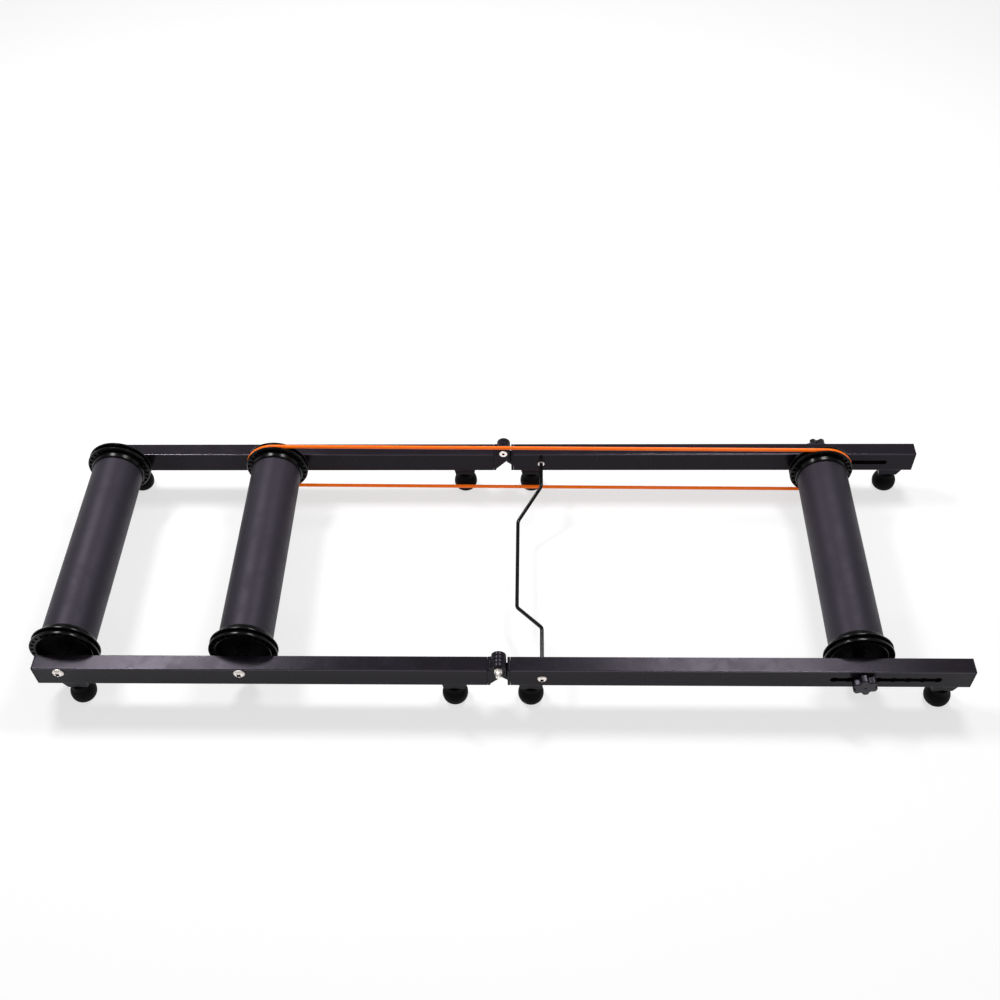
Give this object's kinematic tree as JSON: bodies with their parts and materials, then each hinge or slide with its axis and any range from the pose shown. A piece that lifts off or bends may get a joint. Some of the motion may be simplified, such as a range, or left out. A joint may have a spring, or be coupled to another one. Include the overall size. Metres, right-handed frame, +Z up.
{
  "type": "bike rollers",
  "caption": "Folding bicycle training rollers: hinged twin-rail frame, capped drums on axles, elastic drive belt, sliding front axle with clamp knobs and rubber feet.",
  "frame": {"origin": "on the floor, below the middle of the part's length and width", "axes": "+X along the rails towards the sliding front drum, +Y from the near rail to the rail on the belt's side, +Z up"},
  "size_m": [1.3866, 0.4796, 0.1307],
  "materials": {
    "rail_paint": "satin black powder coat",
    "drum_anodised": "satin black anodised tube",
    "cap_plastic": "glossy black moulded plastic",
    "plug_plastic": "black moulded plastic",
    "knob_plastic": "dark grey textured plastic",
    "foot_rubber": "matt black rubber",
    "zinc_steel": "bright zinc plating",
    "black_steel": "blackened steel",
    "rod_enamel": "gloss black enamel",
    "belt_cord": "orange elastic cord"
  },
  "bodies": {
    "front_frame": {"front_rail_near": "rail_paint", "front_rail_far": "rail_paint", "front_plug_near": "plug_plastic", "front_plug_far": "plug_plastic", "hinge_leaf_front_near": "rail_paint", "hinge_leaf_front_far": "rail_paint", "hinge_bolt_near": "zinc_steel", "hinge_bolt_far": "zinc_steel", "hinge_cap_nut_near": "zinc_steel", "hinge_cap_nut_far": "zinc_steel", "foot_front_inner_near": "foot_rubber", "foot_front_inner_far": "foot_rubber", "foot_front_outer_near": "foot_rubber", "foot_front_outer_far": "foot_rubber", "drive_belt": "belt_cord"},
    "rear_frame": {"rear_rail_near": "rail_paint", "rear_rail_far": "rail_paint", "rear_plug_near": "plug_plastic", "rear_plug_far": "plug_plastic", "hinge_leaf_rear_near": "rail_paint", "hinge_leaf_rear_far": "rail_paint", "foot_rear_inner_near": "foot_rubber", "foot_rear_inner_far": "foot_rubber", "foot_rear_outer_near": "foot_rubber", "foot_rear_outer_far": "foot_rubber", "rear_axle": "zinc_steel", "middle_axle": "zinc_steel", "rear_axle_nut_near": "zinc_steel", "rear_axle_nut_far": "zinc_steel", "middle_axle_nut_near": "zinc_steel", "middle_axle_nut_far": "zinc_steel", "rear_spacer_near": "black_steel", "rear_spacer_far": "black_steel", "middle_spacer_near": "black_steel", "middle_spacer_far": "black_steel"},
    "carriage": {"front_axle": "zinc_steel", "front_spacer_near": "black_steel", "front_spacer_far": "black_steel"},
    "rear_roller": {"rear_drum_tube": "drum_anodised", "rear_end_cap_near": "cap_plastic", "rear_end_cap_far": "cap_plastic", "rear_bearing_near": "zinc_steel", "rear_bearing_far": "zinc_steel"},
    "middle_roller": {"middle_drum_tube": "drum_anodised", "middle_end_cap_near": "cap_plastic", "middle_end_cap_far": "cap_plastic", "middle_bearing_near": "zinc_steel", "middle_bearing_far": "zinc_steel"},
    "front_roller": {"front_drum_tube": "drum_anodised", "front_end_cap_near": "cap_plastic", "front_end_cap_far": "cap_plastic", "front_bearing_near": "zinc_steel", "front_bearing_far": "zinc_steel"},
    "knob_near": {"clamp_knob_near": "knob_plastic"},
    "knob_far": {"clamp_knob_far": "knob_plastic"},
    "stand": {"stand_rod": "rod_enamel", "stand_rod_screw_near": "zinc_steel", "stand_rod_screw_far": "zinc_steel", "stand_rod_nut_far": "zinc_steel"}
  },
  "joints": [
    {"name": "frame_fold", "type": "hinge", "parent": "front_frame", "child": "rear_frame", "pos_m": [0.00625, 0, 0.0925], "axis": [0, 1, 0], "range_deg": [0, 174], "deforming": ["drive_belt"]},
    {"name": "front_roller_slide", "type": "slide", "parent": "front_frame", "child": "carriage", "axis": [1, 0, 0], "range_m": [-0.0426, 0.1065], "deforming": ["drive_belt"]},
    {"name": "rear_roller_spin", "type": "hinge", "parent": "rear_frame", "child": "rear_roller", "pos_m": [-0.64205, 0, 0.0795], "axis": [0, 1, 0], "continuous": true},
    {"name": "middle_roller_spin", "type": "hinge", "parent": "rear_frame", "child": "middle_roller", "pos_m": [-0.37385, 0, 0.0795], "axis": [0, 1, 0], "continuous": true},
    {"name": "front_roller_spin", "type": "hinge", "parent": "carriage", "child": "front_roller", "pos_m": [0.53565, 0, 0.069], "axis": [0, 1, 0], "continuous": true},
    {"name": "knob_near_turn", "type": "hinge", "parent": "carriage", "child": "knob_near", "pos_m": [0.53565, -0.232, 0.069], "axis": [0, 1, 0], "continuous": true},
    {"name": "knob_far_turn", "type": "hinge", "parent": "carriage", "child": "knob_far", "pos_m": [0.53565, 0.232, 0.069], "axis": [0, 1, 0], "continuous": true},
    {"name": "stand_rod_swing", "type": "hinge", "parent": "front_frame", "child": "stand", "pos_m": [0.06965, 0, 0.069], "axis": [0, 1, 0], "continuous": true}
  ],
  "couplings": [
    {"joint": "front_roller_spin", "follows": "middle_roller_spin", "ratio": 1}
  ]
}
